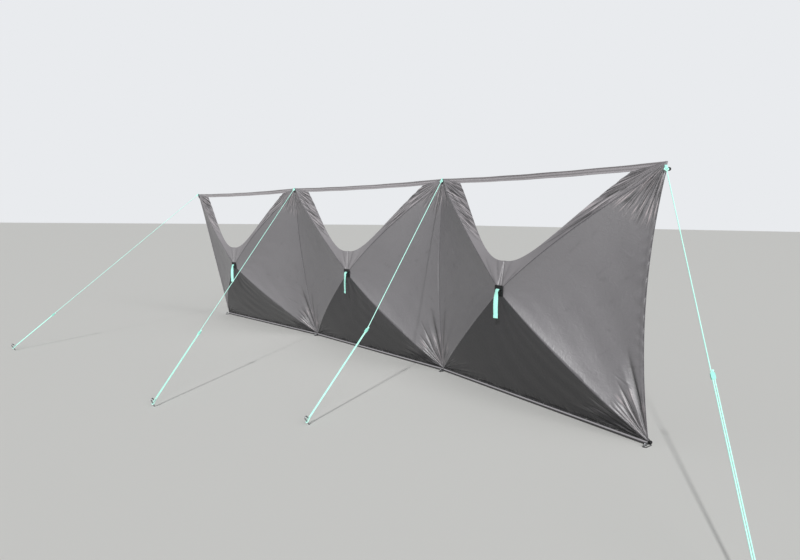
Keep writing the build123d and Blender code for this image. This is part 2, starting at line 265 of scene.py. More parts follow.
def polyesterCloth(name, colour, shade, paintedShade, crestHighlight, roughness, gloss):
    # Coated polyester taffeta: a smooth tight weave with a satin glance where it turns to the light
    material, shader, add = newMaterial(name)
    # Soft tonal drift over 300 mm, from dye and dust; then painted shade along the bottoms of the folds and
    # streaks, and a painted highlight on the streaks' crests
    place, _, toned = mottled(add, 3.3, 3.0, colour, shade)
    streakRelief, dark, pale = drawnStreaks(add)
    inFold = add("Attribute", "Fac", attribute_name="fold")
    # Painted shade: the share of the dark colour at each place, from the streaks' bottoms and from the mesh's
    # shade mark
    shadeShare = add("Math", "Value", {0: dark, 1: inFold}, operation="MAXIMUM")
    for share, tone in ((pale, crestHighlight), (shadeShare, paintedShade)):
        toned = add("Mix", "Result", {"Factor": share, "A": toned, "B": linear(tone)}, data_type="RGBA")
    # Crinkles left from packing, 20 to 60 mm across
    crinkles = {"Vector": place, "Scale": 24.0, "Detail": 4.0, "Roughness": 0.62, "Distortion": 1.4}
    # Threads 0.3 mm apart are too fine to show, so the weave is drawn 1.5 mm apart
    flat = add("TexCoord", "UV")
    weave = add("Mapping", "Vector", {"Vector": flat, "Scale": (1 / 0.0015, 1 / 0.0015, 1)})
    # The relief from the broadest to the finest: its pattern, strength and depth
    reliefs = (
        (add("TexNoise", "Fac", crinkles), 0.30, 0.006),
        (streakRelief, 1.0, 1.0),
        (seamPuckers(add, flat), 0.30, 0.005),
        (add("TexChecker", "Fac", {"Vector": weave, "Scale": 1.0}), 0.06, 0.0002),
    )
    under = {}
    for height, strength, depth in reliefs:
        layer = {"Height": height, "Strength": strength, "Distance": depth, **under}
        under = {"Normal": add("Bump", "Normal", layer)}
    feed(shader, {"Base Color": toned, "Roughness": roughness, "IOR": 1.58, **under})
    feed(shader, {"Specular IOR Level": gloss, "Sheen Weight": 0.08, "Sheen Roughness": 0.4})
    return material


def ribbedWebbing(name, colour, shade, roughness):
    # Woven polyester webbing: close ribs across its width and a soft dull face
    material, shader, add = newMaterial(name)
    # Ribs of 0.8 mm are drawn 2 mm apart, as coarse as they need to show. Scale 1 gives 3.18 to a unit
    ribs = {"Vector": add("TexCoord", "UV"), "Scale": 1 / 0.0020 / 3.18, "Distortion": 0.4}
    rib = add("TexWave", "Fac", ribs, bands_direction="X")
    bump = add("Bump", "Normal", {"Height": rib, "Strength": 0.5, "Distance": 0.0006})
    _, _, toned = mottled(add, 220.0, 2.0, colour, shade)
    feed(shader, {"Base Color": toned, "Roughness": roughness, "Normal": bump})
    feed(shader, {"Sheen Weight": 0.3, "Sheen Roughness": 0.5})
    return material


def mouldedNylon(name, colour, shade, roughness):
    # Injection-moulded nylon: a spark-eroded grain of 1.2 mm that dulls its gloss
    material, shader, add = newMaterial(name)
    place, _, toned = mottled(add, 40.0, 3.0, colour, shade)
    pits = add("TexNoise", "Fac", {"Vector": place, "Scale": 1 / 0.0012, "Detail": 2.0})
    bump = add("Bump", "Normal", {"Height": pits, "Strength": 0.25, "Distance": 0.0003})
    feed(shader, {"Base Color": toned, "Roughness": roughness, "Normal": bump, "IOR": 1.5})
    return material


# Each cloth: name, colour, second tone, painted shade colour for grooves, painted highlight colour for
# crests, roughness, gloss. The lower panels' charcoal is partly their own cloth and partly painted shade for
# faces turned down; the bands' paler grey is partly their own cloth and partly painted light for faces turned
# up
panelCloth = polyesterCloth("polyesterTaffetaGrey", "#6c6a6d", "#636164", "#1c1a1c", "#c3b6b8", 0.50, 1.0)
lowerCloth = polyesterCloth("polyesterTaffetaCharcoalPaintedShade", "#2e2d30", "#29282b", "#0e0d0f", "#8d8a8e", 0.46, 0.5)
bandCloth = polyesterCloth("polyesterTaffetaPaleGreyPaintedLight", "#858285", "#7a777a", "#201e20", "#c4bcbf", 0.48, 1.0)
hemCloth = polyesterCloth("hemPolyesterGrey", "#aaa7ab", "#9b989c", "#19181a", "#c4bcbf", 0.46, 0.8)
tapeCloth = ribbedWebbing("grosgrainTapeGrey", "#9b979a", "#8d898c", 0.50)
# Dark binding over the seams: partly its own tone and partly painted seam shade
bindingCloth = ribbedWebbing("bindingTapeSeamShade", "#5b595d", "#504e52", 0.60)
tealWebbing = ribbedWebbing("polyesterWebbingMint", "#b4f4e6", "#98e6d6", 0.60)
blackWebbing = ribbedWebbing("polyesterWebbingBlack", "#1c1c1e", "#131315", 0.66)
blackNylon = mouldedNylon("mouldedNylonBlack", "#19191b", "#101012", 0.42)
mintNylon = mouldedNylon("mouldedNylonMint", "#a8eedd", "#8fdccb", 0.40)

# Pultruded fibreglass, black: fibres run lengthwise under a satin skin
rodFibre, shader, add = newMaterial("pultrudedFibreglassBlack")
_, fibres, toned = mottled(add, 160.0, 4.0, "#232325", "#161618")
bump = add("Bump", "Normal", {"Height": fibres, "Strength": 0.15, "Distance": 0.0003})
feed(shader, {"Base Color": toned, "Roughness": 0.34, "Normal": bump, "IOR": 1.55})

# Braided polyester guy line, strands 2.2 mm wide, with a pale reflective fleck
guyCord, shader, add = newMaterial("braidedPolyesterMint")
place, _, toned = mottled(add, 90.0, 1.0, "#a6f5e2", "#d2fdf3")
braid = add("TexVoronoi", "Distance", {"Vector": place, "Scale": 1 / 0.0022})
bump = add("Bump", "Normal", {"Height": braid, "Strength": 0.4, "Distance": 0.0005})
feed(shader, {"Base Color": toned, "Roughness": 0.5, "Normal": bump, "Sheen Weight": 0.2})

# Zinc-plated drawn wire: a grey metal with soft spangle and draw marks
pegSteel, shader, add = newMaterial("zincPlatedSteel")
_, spangle, toned = mottled(add, 140.0, 4.0, "#a9abad", "#86888b")
rough = add("MapRange", "Result", {"Value": spangle, "To Min": 0.28, "To Max": 0.48})
feed(shader, {"Base Color": toned, "Roughness": rough, "Metallic": 1.0})
print("materials made")


def gridMesh(name, columns, rows, place, refine=(), closed=False):
    # A grid of squares, made finer where refine says, with every corner put in its place
    bm = bmesh.new()
    bmesh.ops.create_grid(bm, x_segments=columns, y_segments=rows, size=0.5)
    middle = Vector((0.5, 0.5, 0))
    for finer in refine:
        edges = [e for e in bm.edges if finer(*((e.verts[0].co + e.verts[1].co) / 2 + middle)[:2])]
        bmesh.ops.subdivide_edges(bm, edges=edges, cuts=1, use_grid_fill=True)
    flat = np.array([vert.co[:2] for vert in bm.verts]) + 0.5
    points, marks = place(flat[:, :1], flat[:, 1:])
    width, length = marks.pop("size")
    uvLayer = bm.loops.layers.uv.new("cloth")
    for face in bm.faces:
        for loop in face.loops:
            loop[uvLayer].uv = ((loop.vert.co.x + 0.5) * width, (loop.vert.co.y + 0.5) * length)
    for key, values in marks.items():
        single = values.shape[1] == 1
        layer = (bm.verts.layers.float if single else bm.verts.layers.float_vector).new(key)
        for vert, value in zip(bm.verts, values):
            vert[layer] = float(value[0]) if single else value
    for vert, point in zip(bm.verts, points):
        vert.co = point
    if closed:
        bmesh.ops.remove_doubles(bm, verts=bm.verts, dist=1e-6)
        bmesh.ops.recalc_face_normals(bm, faces=bm.faces)
    else:
        bm.normal_update()
        if sum(face.normal.y * face.calc_area() for face in bm.faces) > 0:
            bmesh.ops.reverse_faces(bm, faces=bm.faces)
    bmesh.ops.dissolve_degenerate(bm, edges=bm.edges, dist=1e-7)
    for face in bm.faces:
        face.smooth = True
    return meshFrom(bm, name)


def meshFrom(bm, name):
    mesh = bpy.data.meshes.new(name)
    bm.to_mesh(mesh)
    bm.free()
    return mesh


def capped(name, columns, rows, place):
    # A tube of squares, with both its ends filled
    mesh = gridMesh(name, columns, rows, place, closed=True)
    bm = bmesh.new()
    bm.from_mesh(mesh)
    bmesh.ops.holes_fill(bm, edges=[edge for edge in bm.edges if edge.is_boundary], sides=0)
    bmesh.ops.recalc_face_normals(bm, faces=bm.faces)
    bm.to_mesh(mesh)
    bm.free()
    return mesh


def joinMeshes(name, meshes):
    bm = bmesh.new()
    for mesh in meshes:
        bm.from_mesh(mesh)
        bpy.data.meshes.remove(mesh)
    return meshFrom(bm, name)


def link(name, data):
    thing = bpy.data.objects.new(name, data)
    bpy.context.scene.collection.objects.link(thing)
    return thing


def newPiece(mesh, material, slotName, *nodes):
    piece = link(mesh.name, mesh)
    mesh.materials.append(material)
    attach(piece, "root")
    if nodes:
        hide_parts(*nodes)
    return piece


def giveThickness(piece, thickness, offset=-1.0):
    solidify = piece.modifiers.new("thickness", "SOLIDIFY")
    solidify.thickness = thickness
    solidify.offset = offset


def softStep(value):
    value = np.clip(value, 0, 1)
    return value * value * (3 - 2 * value)


def bell(value, reach):
    return np.exp(-(value / reach) ** 2)


def nearEnd(share, reach):
    # Rises from 0 to 1 over the last part of the way
    return softStep((share - 1) / reach + 1)


def betweenEnds(share, reach):
    return softStep(share / reach) * softStep((1 - share) / reach)


def surfaceNormal(surface, u, v):
    # Unit normal of a placed surface, turned to the guyed side
    small = 1e-3
    alongU = surface(u + small, v) - surface(u - small, v)
    alongV = surface(u, v + small) - surface(u, v - small)
    normal = np.cross(alongU, alongV)
    normal /= np.linalg.norm(normal, axis=1, keepdims=True) + 1e-12
    return np.where(normal[:, 1:2] > 0, -normal, normal)


def roundCorner(points, corner):
    # Angle of each point from the corner's first edge, its distance, and the angle between the edges
    tip, firstEdge, lastEdge = corner
    firstEdge = unit(firstEdge)
    facing = unit(np.cross(firstEdge, lastEdge))
    sideways = np.cross(facing, firstEdge)
    whole = math.acos(np.clip(firstEdge @ unit(lastEdge), -1, 1))
    offset = points - tip
    reach = np.linalg.norm(offset, axis=1, keepdims=True)
    angle = np.arctan2((offset @ sideways)[:, None], (offset @ firstEdge)[:, None])
    return angle, reach, whole


def streaks(points, corner, length, steepness, seed, finer):
    # Angle, distance and height of the fine streaks out of a corner, for the cloth's noise
    angle, reach, _ = roundCorner(points, corner)
    height = steepness * reach * np.clip(1 - reach / length, 0, 1) ** 1.3
    return np.hstack([angle * finer + seed, reach, height])


def foldHeight(points, corner, folds):
    # Folds that fan out of a corner, each at its share of the angle between two edges
    angle, reach, whole = roundCorner(points, corner)
    height = np.zeros_like(reach)
    for share, length, width, rise in folds:
        run = np.clip(reach / length, 0, 1)
        lengthwise = 1.9 * run ** 0.5 * (1 - run) ** 1.1
        across = reach * (angle - share * whole) / (width * (0.35 + 0.65 * run))
        height += rise * lengthwise * np.exp(-np.abs(across) ** (1.25 if rise < 0 else 1.6))
    return height


def strokeHeight(points, surface, strokes):
    # Single folds from one place of the sheet to another: deepest in the middle, gone at the ends
    height = np.zeros((len(points), 1))
    for start, end, width, rise in strokes:
        first, last = (surface(np.array([[u]]), np.array([[v]]))[0] for u, v in (start, end))
        run = last - first
        offset = points - first
        along = (offset @ run)[:, None] / (run @ run)
        away = np.linalg.norm(offset - along * run, axis=1, keepdims=True)
        taper = np.clip(4 * along * (1 - along), 0, 1) ** 0.8
        height += rise * taper * np.exp(-(away / (width * (0.4 + 0.6 * taper))) ** 1.3)
    return height


def shadeInGroove(height, deepest):
    # How far down a groove each place lies, for the painted shade in it
    return np.clip(-height / deepest, 0, 1) ** 1.1 * clothPanel["paintedShade"]


def ripple(seed, u, v, count, scale):
    # Broad shallow drift of the cloth, a few slanting waves
    rng = random.Random(seed)
    total = np.zeros_like(u)
    for _ in range(count):
        # Each wave first passes over one draw, on which the waves' places depend
        rng.random()
        across = rng.uniform(3, 11) * rng.choice((-1, 1))
        along = rng.uniform(4, 13)
        total += np.sin(u * 3 * across + v * 3 * along + rng.uniform(0, 6.3)) * rng.uniform(0.4, 1.0)
    return total * scale / count


clothPanel = {
    "thickness": 0.0008,
    "rodLength": 1.22,
    "panelWidth": 0.98,        # width of the cloth that a side panel is cut from
    "seamReach": 0.035,        # how far puckers run into the cloth from a rod seam
    "postReach": 0.045,        # and from a post seam or a free edge
    "hemWidth": 0.024,         # turned-over edge down a free side
    "squares": 46,
    "creases": 40,
    "streakSteepness": 0.055,  # height of the fine streaks, as a share of their distance from the corner
    "tipShare": 0.92,          # how much of the tape's width the corners run up over
    "overTape": 0.0024,        # how far in front of the tape they lie
    "paintedShade": 0.95,             # share of the painted shade's colour at the bottom of a deep groove
}
# Folds at a corner: share of its angle from the first edge, length, half width, height
feetFolds = (
    (0.16, 0.50, 0.013, -0.0150), (0.31, 0.42, 0.018, 0.0090), (0.48, 0.40, 0.010, -0.0150),
    (0.575, 0.30, 0.009, 0.0090), (0.67, 0.30, 0.008, -0.0130), (0.745, 0.27, 0.007, 0.0080),
    (0.81, 0.27, 0.007, -0.0110), (0.875, 0.25, 0.006, 0.0070), (0.935, 0.27, 0.006, -0.0090),
)
lowFolds = (
    (0.10, 0.55, 0.008, 0.0070), (0.22, 0.50, 0.008, -0.0110), (0.36, 0.45, 0.009, 0.0080),
    (0.50, 0.42, 0.008, -0.0110), (0.64, 0.34, 0.008, 0.0070), (0.78, 0.30, 0.007, -0.0090),
    (0.90, 0.26, 0.006, 0.0060),
)
bandFolds = (
    (0.08, 0.50, 0.006, 0.0050), (0.15, 0.62, 0.005, -0.0070), (0.24, 0.46, 0.006, 0.0050),
    (0.33, 0.60, 0.005, -0.0065), (0.42, 0.50, 0.006, 0.0060), (0.50, 0.66, 0.005, -0.0075),
    (0.58, 0.42, 0.006, 0.0055), (0.66, 0.60, 0.005, -0.0070), (0.75, 0.48, 0.006, 0.0055),
    (0.82, 0.55, 0.005, -0.0060), (0.89, 0.75, 0.006, 0.0055), (0.95, 0.50, 0.004, -0.0050),
)
hubFolds = (
    (0.15, 0.22, 0.008, 0.0040), (0.40, 0.28, 0.008, -0.0045),
    (0.65, 0.24, 0.007, 0.0050), (0.88, 0.26, 0.007, -0.0040),
)
headFolds = {
    "count": 15,
    "low": 0.06,
    "high": 0.94,
    "length": 0.30,
    "halfWidth": 0.0062,
    "height": 0.0085,
}


def jittered(folds, seed, strength):
    # The same folds a little moved, so that no two corners are alike
    rng = random.Random(seed)
    moved = []
    for share, length, width, rise in folds:
        share += rng.uniform(-0.015, 0.015)
        length *= rng.uniform(0.8, 1.15)
        width *= rng.uniform(0.85, 1.2)
        moved.append((share, length, width, rise * strength * rng.uniform(0.7, 1.1)))
    return moved


def drawnFolds(seed, strength):
    # Folds spread over a head's angle, long ones beside short ones
    rng = random.Random(seed)
    span = headFolds["high"] - headFolds["low"]
    folds = []
    for k in range(headFolds["count"]):
        share = headFolds["low"] + span * (k + rng.uniform(0.2, 0.8)) / headFolds["count"]
        length = headFolds["length"] * rng.uniform(0.55, 1.0)
        width = headFolds["halfWidth"] * rng.uniform(0.7, 1.2)
        rise = headFolds["height"] * strength * (-1 if k % 2 else 1) * rng.uniform(0.6, 1.0)
        folds.append((share, length, width, rise))
    return folds


def randomCrease(rng):
    # A faint packing crease somewhere in a panel: start, end, half width, height
    u, v = rng.uniform(0.35, 0.92), rng.uniform(0.15, 0.85)
    turn, length = rng.uniform(-0.9, 0.9), rng.uniform(0.05, 0.16)
    end = (u + length * math.cos(turn), v + length * math.sin(turn))
    return (u, v), end, rng.uniform(0.003, 0.006), rng.choice((-1, 1)) * rng.uniform(0.0010, 0.0022)


def slantWrinkle(rng):
    # A short wrinkle across a band, off the rod seam
    u = rng.uniform(0.50, 0.95)
    start = (u, rng.uniform(0.0, 0.3))
    end = (u - rng.uniform(0.08, 0.18), rng.uniform(0.7, 1.0))
    return start, end, 0.0045, rng.choice((-1, 1)) * 0.0032


def cornerLift(post):
    # The cloth's corner is drawn up over the tape to the tip of the seam
    return leans[post] * windbreak["tapeWidth"] * clothPanel["tipShare"]


def finerPast(rim, along=1.0, offMiddle=0.5):
    # Where a grid is made finer: past the rim, and past along where that is off the middle
    return lambda u, v: u > rim or u > along and abs(v - 0.5) > offMiddle


def surfaceArea(surface, squares=40):
    # Flat area of the cut: the smooth sheet's own, before its folds
    steps = np.linspace(0, 1, squares + 1)
    u, v = np.meshgrid(steps, steps, indexing="ij")
    p = surface(u.reshape(-1, 1), v.reshape(-1, 1)).reshape(squares + 1, squares + 1, 3)
    a, b, c, d = p[:-1, :-1], p[1:, :-1], p[1:, 1:], p[:-1, 1:]
    halves = (np.cross(b - a, c - a), np.cross(c - a, d - a))
    return float(sum(np.linalg.norm(half, axis=2) for half in halves).sum() / 2)


def spanned(*rows):
    # Smooth surface over rows of control points
    return lambda u, v: bezier([bezier(row, u) for row in rows], v)


def clothMarks(size, fromRod, fromEdge, fold, fan):
    # What the cloth's material reads at each place: seams, edges, painted shade and streaks
    ridge, edge = bell(fromRod, clothPanel["seamReach"]), bell(fromEdge, clothPanel["postReach"])
    return {"size": size, "ridge": ridge, "edge": edge, "fold": fold, "fan": fan}


def newSheet(mesh, surface, cut, finish, *sewnOn, thickness=clothPanel["thickness"], offset=-1.0):
    # A piece of cloth given its thickness; its flat size is not used, and the area of its smooth surface is
    # worked out but not used
    piece = newPiece(mesh, *finish)
    area = surfaceArea(surface)
    giveThickness(piece, thickness, offset)


def freeHem(v, fromPost):
    # Height and painted shade of a free side's turned-over edge: its stitches, its flutter, and a dark rim of
    # painted shade along the turned edge
    along = v * windbreak["edgeHeight"] * fullTurn
    inside = fromPost - clothPanel["hemWidth"]
    small = np.sin(along / 0.023 + 3.2 * np.sin(v * 41)) * bell(inside, 0.010)
    broad = np.sin(along / 0.085 + 1.5 * np.sin(v * 17)) * bell(v - 0.55, 0.22)
    height = 0.0012 * softStep(-inside / 0.003) + 0.0006 * small
    height += 0.0050 * broad * bell(fromPost, 0.045) * softStep(fromPost / 0.006 + 0.3)
    return height, 0.8 * softStep((0.0045 - fromPost) / 0.002)


def makeSidePanel(bay, side):
    post = postOf(bay, side)
    free = post in (0, bayCount)
    # The panels that face the light show their folds more
    strength = 1.35 if side > 0 else 0.9
    lower, upper = rodLine(bay, side, -1), rodLine(bay, side, 1)
    inner, outer = (lower[0] + upper[0]) / 2, edgeControl(post)
    third = (outer - inner) / 3
    belly = back * windbreak["sideBelly"]
    middle = [inner, inner + third + belly / 2, inner + third * 2 + belly, outer]
    rodLength, postLength = clothPanel["rodLength"], windbreak["edgeHeight"]
    smooth = spanned(lower, middle, upper)
    tip = highCorners[post] + cornerLift(post)
    foot = (lowCorners[post], unit(outer - lowCorners[post]), lower[2] - lower[3])
    head = (tip, unit(outer - highCorners[post]), upper[2] - upper[3])
    atFoot = jittered(feetFolds, 10 * bay + side, strength)
    rng = random.Random(300 + 2 * bay + side)
    creases = [randomCrease(rng) for _ in range(clothPanel["creases"])]
    atHead = drawnFolds(20 * bay + side, strength)
    steep = clothPanel["streakSteepness"] * strength
    headReach = 0.36 if free else 0.28

    def place(u, v):
        over = nearEnd(u, 0.14) * nearEnd(v, 0.12)
        points = smooth(u, v) + cornerLift(post) * over - back * clothPanel["overTape"] * over
        normal = surfaceNormal(smooth, u, v)
        fromRod = np.minimum(v, 1 - v) * u * postLength
        fromPost = (1 - u) * rodLength * 0.8
        height = foldHeight(points, foot, atFoot) + foldHeight(points, head, atHead)
        height += strokeHeight(points, smooth, creases)
        height *= softStep(fromRod / 0.012) * softStep(fromPost / 0.010)
        # Painted shade in the folds' grooves
        fold = shadeInGroove(height, 0.008)
        drift = ripple(bay * 7 + side, u, v, 7, 0.0040)
        height += drift * softStep(fromRod / 0.15) * softStep(fromPost / 0.15)
        if free:
            # The free edge's dark rim is painted shade
            hemHeight, rim = freeHem(v, fromPost)
            height += hemHeight
            fold = np.maximum(fold, rim)
        atTop = streaks(points, head, headReach, steep, 3 * bay + side, 1.5)
        fan = np.where(v > 0.5, atTop, streaks(points, foot, 0.30, steep, 5 * bay + side, 1.0))
        return points + normal * height, clothMarks((rodLength, postLength), fromRod, fromPost, fold, fan)

    refine = [finerPast(0.93 if free else 1, 0.62, 0.08), finerPast(0.95 if free else 1, 0.72, 0.20)]
    refine.append(finerPast(1, 0.82, 0.32))
    hand = handOf(side)
    squares = clothPanel["squares"]
    mesh = gridMesh(f"{hand}Panel{bay + 1}", squares, squares, place, refine)
    cut = (postLength, clothPanel["panelWidth"])
    newSheet(mesh, smooth, cut, (panelCloth, "panel_cloth", f"{hand}_panel_{bay + 1}"))


lowerPanel = {
    "height": 0.72,          # up the middle, from the hem to the hub
    "cutHeight": 0.78,
    "gathers": (0.019, 0.027, 0.043, 0.071, 0.11),
    "gatherHeight": 0.0011,
    "gatherReach": 0.035,
    "tuckLevel": 0.013,
    "tuckHalf": 0.007,
    "tuckDepth": 0.0100,
    "tuckLength": 0.23,
    "groundShade": 0.62,            # share of the painted shade's colour at the ground
}


def makeLowerPanel(bay):
    left, right = rodLine(bay, -1, -1), rodLine(bay, 1, -1)
    middle = [(a + b) / 2 for a, b in zip(left, right)]
    middle[1] = middle[1] + back * windbreak["lowerBelly"] / 2
    middle[2] = middle[2] + back * windbreak["lowerBelly"]
    hemLine = unit(right[3] - left[3])
    rightFoot = (right[3], -hemLine, right[2] - right[3])
    leftFoot = (left[3], hemLine, left[2] - left[3])
    smooth = spanned(left, middle, right)
    atRight = jittered(lowFolds, 31 + bay, 1.7)
    atLeft = jittered(lowFolds, 41 + bay, 1.1)
    rng = random.Random(50 + bay)
    phases = [rng.uniform(0, 6.3) for _ in lowerPanel["gathers"]]
    steep = clothPanel["streakSteepness"]

    def place(u, v):
        points = smooth(u, v)
        normal = surfaceNormal(smooth, u, v)
        fromRod = np.minimum(v, 1 - v) * u * windbreak["bayWidth"]
        fromHem = (1 - u) * lowerPanel["height"]
        height = foldHeight(points, rightFoot, atRight) + foldHeight(points, leftFoot, atLeft)
        height *= softStep(fromRod / 0.014) * softStep(fromHem / 0.006)
        fold = shadeInGroove(height, 0.006)
        height += ripple(bay + 60, u, v, 6, 0.0035) * softStep(fromRod / 0.15) * softStep(fromHem / 0.12)
        # Gathers above the hem, and the tuck that the hem pulls in
        along = v * windbreak["bayWidth"] * fullTurn
        gathers = sum(np.sin(along / length + phase) for length, phase in zip(lowerPanel["gathers"], phases))
        gathered = bell(fromHem, lowerPanel["gatherReach"]) * softStep(fromRod / 0.03)
        height += lowerPanel["gatherHeight"] * gathers * gathered
        tuck = 0.65 + 0.35 * np.sin(along / lowerPanel["tuckLength"] + phases[0]) + 0.12 * gathers
        tuck *= lowerPanel["tuckDepth"] * bell(fromHem - lowerPanel["tuckLevel"], lowerPanel["tuckHalf"])
        tuck *= softStep(fromRod / 0.05)
        height -= tuck
        # Painted shade darkens it towards the hem and the right side, and fills its folds' grooves and the
        # tuck above the hem
        groundShade = lowerPanel["groundShade"] * softStep(u) * (0.55 + 0.45 * v)
        fold = np.maximum(np.maximum(fold, shadeInGroove(-tuck, 0.009)), groundShade)
        toRight = streaks(points, rightFoot, 0.45, steep, bay + 40, 1.6)
        fan = np.where(v > 0.5, toRight, streaks(points, leftFoot, 0.30, steep, bay + 50, 1.6))
        size = (0.75, windbreak["bayWidth"])
        return points + normal * height, clothMarks(size, fromRod, fromHem, fold, fan)

    refine = [finerPast(0.88, 0.70, 0.22), finerPast(0.93, 0.82, 0.32), finerPast(0.955)]
    mesh = gridMesh(f"lowerPanel{bay + 1}", 40, 72, place, refine)
    cut = (windbreak["bayWidth"], lowerPanel["cutHeight"])
    newSheet(mesh, smooth, cut, (lowerCloth, "lower_cloth", f"lower_panel_{bay + 1}"), hems[bay])


bandStrip = {
    "length": 1.24,
    "cutWidth": 0.205,
    "width": 0.15,
    "wrinkles": 14,
    "bindingHeight": 0.0012,
    "bindingWidth": 0.010,
    "streakReach": 0.75,
    "streakSteepness": 0.022,
    "slant": 0.42,
    "slantHeight": 0.0075,
}


def makeBand(bay, side):
    post = postOf(bay, side)
    outer, inner = rodLine(bay, side, 1), mouthEdge(bay, side)
    tapeLine = unit(inner[3] - outer[3])
    head = (outer[3] + cornerLift(post), tapeLine, outer[2] - outer[3])
    hub = (hubs[bay].origin, hubs[bay].y, outer[1] - outer[0])
    smooth = spanned(outer, inner)
    atHead = jittered(bandFolds, 70 + bay * 3 + side, 2.1 if side > 0 else 1.6)
    atHub = jittered(hubFolds, 90 + bay + side, 1.0)
    rng = random.Random(400 + 2 * bay + side)
    slanting = [slantWrinkle(rng) for _ in range(bandStrip["wrinkles"])]

    def place(u, v):
        rising = nearEnd(u, 0.14)
        points = smooth(u, v) + cornerLift(post) * (rising * (1 - v)) - back * clothPanel["overTape"] * rising
        normal = surfaceNormal(smooth, u, v)
        width = np.linalg.norm(bezier(outer, u) - bezier(inner, u), axis=1, keepdims=True)
        fromRod, fromMouth = v * width, (1 - v) * width
        height = foldHeight(points, head, atHead) + foldHeight(points, hub, atHub)
        height += strokeHeight(points, smooth, slanting)
        height *= softStep(fromRod / 0.010) * (0.35 + 0.65 * softStep(fromMouth / 0.010))
        height *= softStep((1 - u) * 1.2 / 0.02 + 0.2) * softStep(u * 1.2 / 0.03)
        # Painted shade in the folds' grooves
        fold = shadeInGroove(height, 0.006)
        height += bandStrip["bindingHeight"] * softStep((bandStrip["bindingWidth"] - fromMouth) / 0.002)
        ridge = bell(fromRod, clothPanel["seamReach"]) * 0.7 + bell(fromMouth, 0.02) * 0.6
        if side > 0:
            fan = streaks(points, head, bandStrip["streakReach"], bandStrip["streakSteepness"], 9 * bay, 2.2)
        else:
            # Slanting wrinkles, down from the rod seam to the opening's edge
            slant = (u * 1.22 + v * 0.11) / bandStrip["slant"]
            amount = bandStrip["slantHeight"] * softStep((u - 0.38) / 0.35) * softStep((1 - u) / 0.05)
            fan = np.hstack([slant + bay, v * 0.20, amount])
        marks = {"ridge": ridge, "edge": bell((1 - u) * 1.2, 0.05), "fold": fold, "fan": fan}
        return points + normal * height, {"size": (clothPanel["rodLength"], bandStrip["width"]), **marks}

    hand = handOf(side)
    mesh = gridMesh(f"{hand}Band{bay + 1}", 54, 12, place, [finerPast(0.30), finerPast(0.50)])
    cut = (bandStrip["length"], bandStrip["cutWidth"])
    newSheet(mesh, smooth, cut, (bandCloth, "band_cloth", f"{hand}_band_{bay + 1}"))


bandDart = {
    "length": 0.18,
    "width": 0.028,
    "bulge": 0.0030,
}


def makeDart(bay):
    # Small wedge between the two bands, from the hub up to the opening's lowest point
    half = windbreak["holeHalf"]
    left, right = (hubs[bay].point(side * half, half) for side in (-1, 1))
    tip = mouthEdge(bay, 1)[0]
    flat = (bandDart["width"], bandDart["length"])

    def smooth(u, v):
        return (left + (right - left) * v) * (1 - u) + tip * u

    def place(u, v):
        crown = np.cos((v - 0.5) * math.pi) ** 2 * np.sin(np.clip(u, 0, 1) * math.pi)
        return smooth(u, v) + hubs[bay].z * bandDart["bulge"] * crown, {"size": flat[::-1]}

    piece = newPiece(gridMesh(f"bandDart{bay + 1}", 24, 8, place), bandCloth, "band_cloth", "band_darts")
    surfaceArea(smooth)
    giveThickness(piece, clothPanel["thickness"])


hemRoll = {
    "height": 0.026,
    "neck": 0.0015,         # half thickness of the flat part
    "bulge": 0.0050,        # what the rolled bottom adds to it
    "bulgeLevel": 0.0078,
    "bulgeReach": 0.0076,
    "paintedShadeAbove": 0.0200,
    "paintedShadeBelow": 0.0145,
    "endMargin": 0.006,
}


def makeHem(bay):
    # The bottom edge is turned up round a cord, so its lowest part is a roll
    start, end = feet[bay], feet[bay + 1]
    along = unit(end - start)
    length = windbreak["bayWidth"] - hemRoll["endMargin"] * 2
    across = np.cross(up, along)
    rng = random.Random(130 + bay)
    waves = [(rng.uniform(60, 260), rng.uniform(0, 6.3), rng.uniform(0.3, 1.0)) for _ in range(9)]

    def place(u, v):
        level = hemRoll["height"] / 2 * (1 + np.cos(fullTurn * v))
        fromBulge = (level - hemRoll["bulgeLevel"]) / hemRoll["bulgeReach"]
        bulge = np.sqrt(np.clip(1 - fromBulge ** 2, 0, 1))
        pucker = sum(np.sin(u * rate + phase) * size for rate, phase, size in waves) / len(waves)
        half = hemRoll["neck"] + hemRoll["bulge"] * bulge * (1 + 0.35 * pucker)
        depth = half * np.sin(fullTurn * v) + 0.0006
        distance = hemRoll["endMargin"] + u * length
        lifted = 0.0004 + level * (1 + 0.03 * pucker * (level / hemRoll["height"]))
        # Painted shade on the flat part above the roll and on the roll's lower side; the strip between stays
        # pale
        above = softStep((level - hemRoll["paintedShadeAbove"]) / 0.003)
        below = softStep((hemRoll["paintedShadeBelow"] - level) / 0.002)
        points = start + along * distance + across * depth + up * lifted
        return points, {"size": (length, 0.06), "fold": np.maximum(above, below)}

    mesh = gridMesh(f"hem{bay + 1}", 260, 28, place, closed=True)
    return newPiece(mesh, hemCloth, "hem_cloth", f"hem_{bay + 1}")


hems = [makeHem(bay) for bay in range(bayCount)]
for bay in range(bayCount):
    makeLowerPanel(bay)
    makeDart(bay)
    for side in (-1, 1):
        makeSidePanel(bay, side)
        makeBand(bay, side)
print("cloth panels stretched")

topTape = {
    "thickness": 0.0014,
    "roll": 0.0040,        # how far its edges curl forwards
    "pleat": 0.0026,       # depth of the two lengthwise folds
    "twist": 7.0,          # degrees, to and fro along a bay
    "behind": 0.0050,      # how far its ends pass behind the cloth's corners
    "flutter": 0.0007,
}


